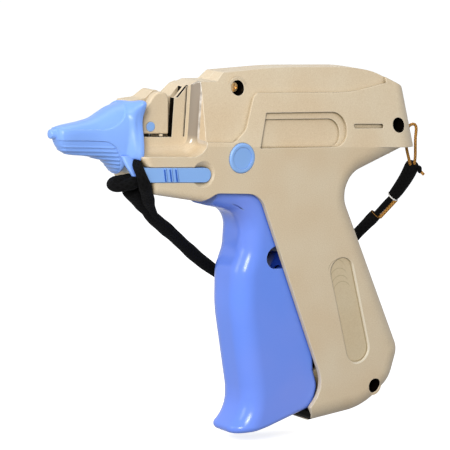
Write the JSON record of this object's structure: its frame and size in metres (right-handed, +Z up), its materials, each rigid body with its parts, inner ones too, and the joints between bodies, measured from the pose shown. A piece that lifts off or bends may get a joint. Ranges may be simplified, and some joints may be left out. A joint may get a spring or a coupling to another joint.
{
  "type": "garment tag attacher",
  "caption": "Hand-held tagging gun with a trigger, side button, needle lock lever, removable needle cap and a shoulder strap; shoots plastic tag fasteners through a hollow needle.",
  "frame": {"origin": "on the needle's axis at the mouth of the needle seat, in the front face of the housing", "axes": "-X the way the needle points, +Z up, +Y towards the half without the button"},
  "size_m": [0.1772, 0.038, 0.1489],
  "materials": {
    "housing": "satin, fine speckle",
    "blue": "gloss",
    "light_blue": "gloss",
    "nylon": "matte",
    "steel": "brushed",
    "spring_steel": "drawn wire",
    "brass": "turned",
    "rubber": "matte",
    "strap": "woven",
    "cord": "twisted"
  },
  "bodies": {
    "housing": {"housing_left": "housing", "housing_right": "housing", "housing_screws": "steel", "front_guide": "housing", "guide_pin": "light_blue", "needle_base": "nylon", "needle_tube": "steel", "cutter_blade": "steel", "feed_wheel_shaft": "steel", "feed_pawl_pin": "steel", "detent_spring": "spring_steel", "rod_bush": "brass", "trigger_pivot_pin": "steel", "drive_lever_pin": "steel", "lock_lever_pin": "steel", "rear_buffer": "rubber", "strap": "strap", "strap_sleeve": "strap", "cord_loop": "cord"},
    "trigger": {"trigger": "blue", "link_pin": "steel"},
    "drive_lever": {"drive_lever": "nylon"},
    "piston": {"piston": "nylon", "piston_pin": "steel", "push_rod": "steel", "return_spring": "spring_steel"},
    "feed_wheel": {"feed_wheel": "nylon"},
    "feed_pawl": {"feed_pawl": "nylon"},
    "lock_lever": {"lock_lever": "light_blue"},
    "release_button": {"release_button": "light_blue", "button_ring": "steel", "button_spring": "spring_steel"},
    "needle_cap": {"needle_cap": "blue", "strap_loop": "strap"}
  },
  "joints": [
    {"name": "trigger_squeeze", "type": "hinge", "parent": "housing", "child": "trigger", "pos_m": [0.079, 0, -0.1], "axis": [0, 1, 0], "range_deg": [0, 11.5], "stiffness_Nm_per_rad": 1.5, "springref_deg": -5.73},
    {"name": "lever_swing", "type": "hinge", "parent": "housing", "child": "drive_lever", "pos_m": [0.079, 0, -0.0465], "axis": [0, -1, 0], "range_deg": [0, 55]},
    {"name": "piston_slide", "type": "slide", "parent": "housing", "child": "piston", "axis": [-1, 0, 0], "range_m": [0, 0.04845], "deforming": ["return_spring"]},
    {"name": "feed_wheel_spin", "type": "hinge", "parent": "housing", "child": "feed_wheel", "pos_m": [0.0175, 0.0061, 0.005], "axis": [1, 0, 0], "continuous": true},
    {"name": "feed_pawl_swing", "type": "hinge", "parent": "housing", "child": "feed_pawl", "pos_m": [0.0175, 0.0082, -0.0066], "axis": [-1, 0, 0], "range_deg": [0, 16], "stiffness_Nm_per_rad": 0.01, "springref_deg": -11.46},
    {"name": "lock_lever_swing", "type": "hinge", "parent": "housing", "child": "lock_lever", "pos_m": [0.006, -0.012, -0.01415], "axis": [0, 0, -1], "range_deg": [0, 50]},
    {"name": "button_press", "type": "slide", "parent": "housing", "child": "release_button", "axis": [0, 1, 0], "range_m": [0, 0.0018], "stiffness_N_per_m": 400, "springref_m": -0.002, "deforming": ["button_spring"]},
    {"name": "cap_pull", "type": "slide", "parent": "housing", "child": "needle_cap", "axis": [-1, 0, 0], "range_m": [0, 0.045]}
  ],
  "couplings": [
    {"joint": "lever_swing", "follows": "trigger_squeeze", "ratio": 4.7826},
    {"joint": "piston_slide", "follows": "trigger_squeeze", "m_per_rad": 0.24139}
  ]
}
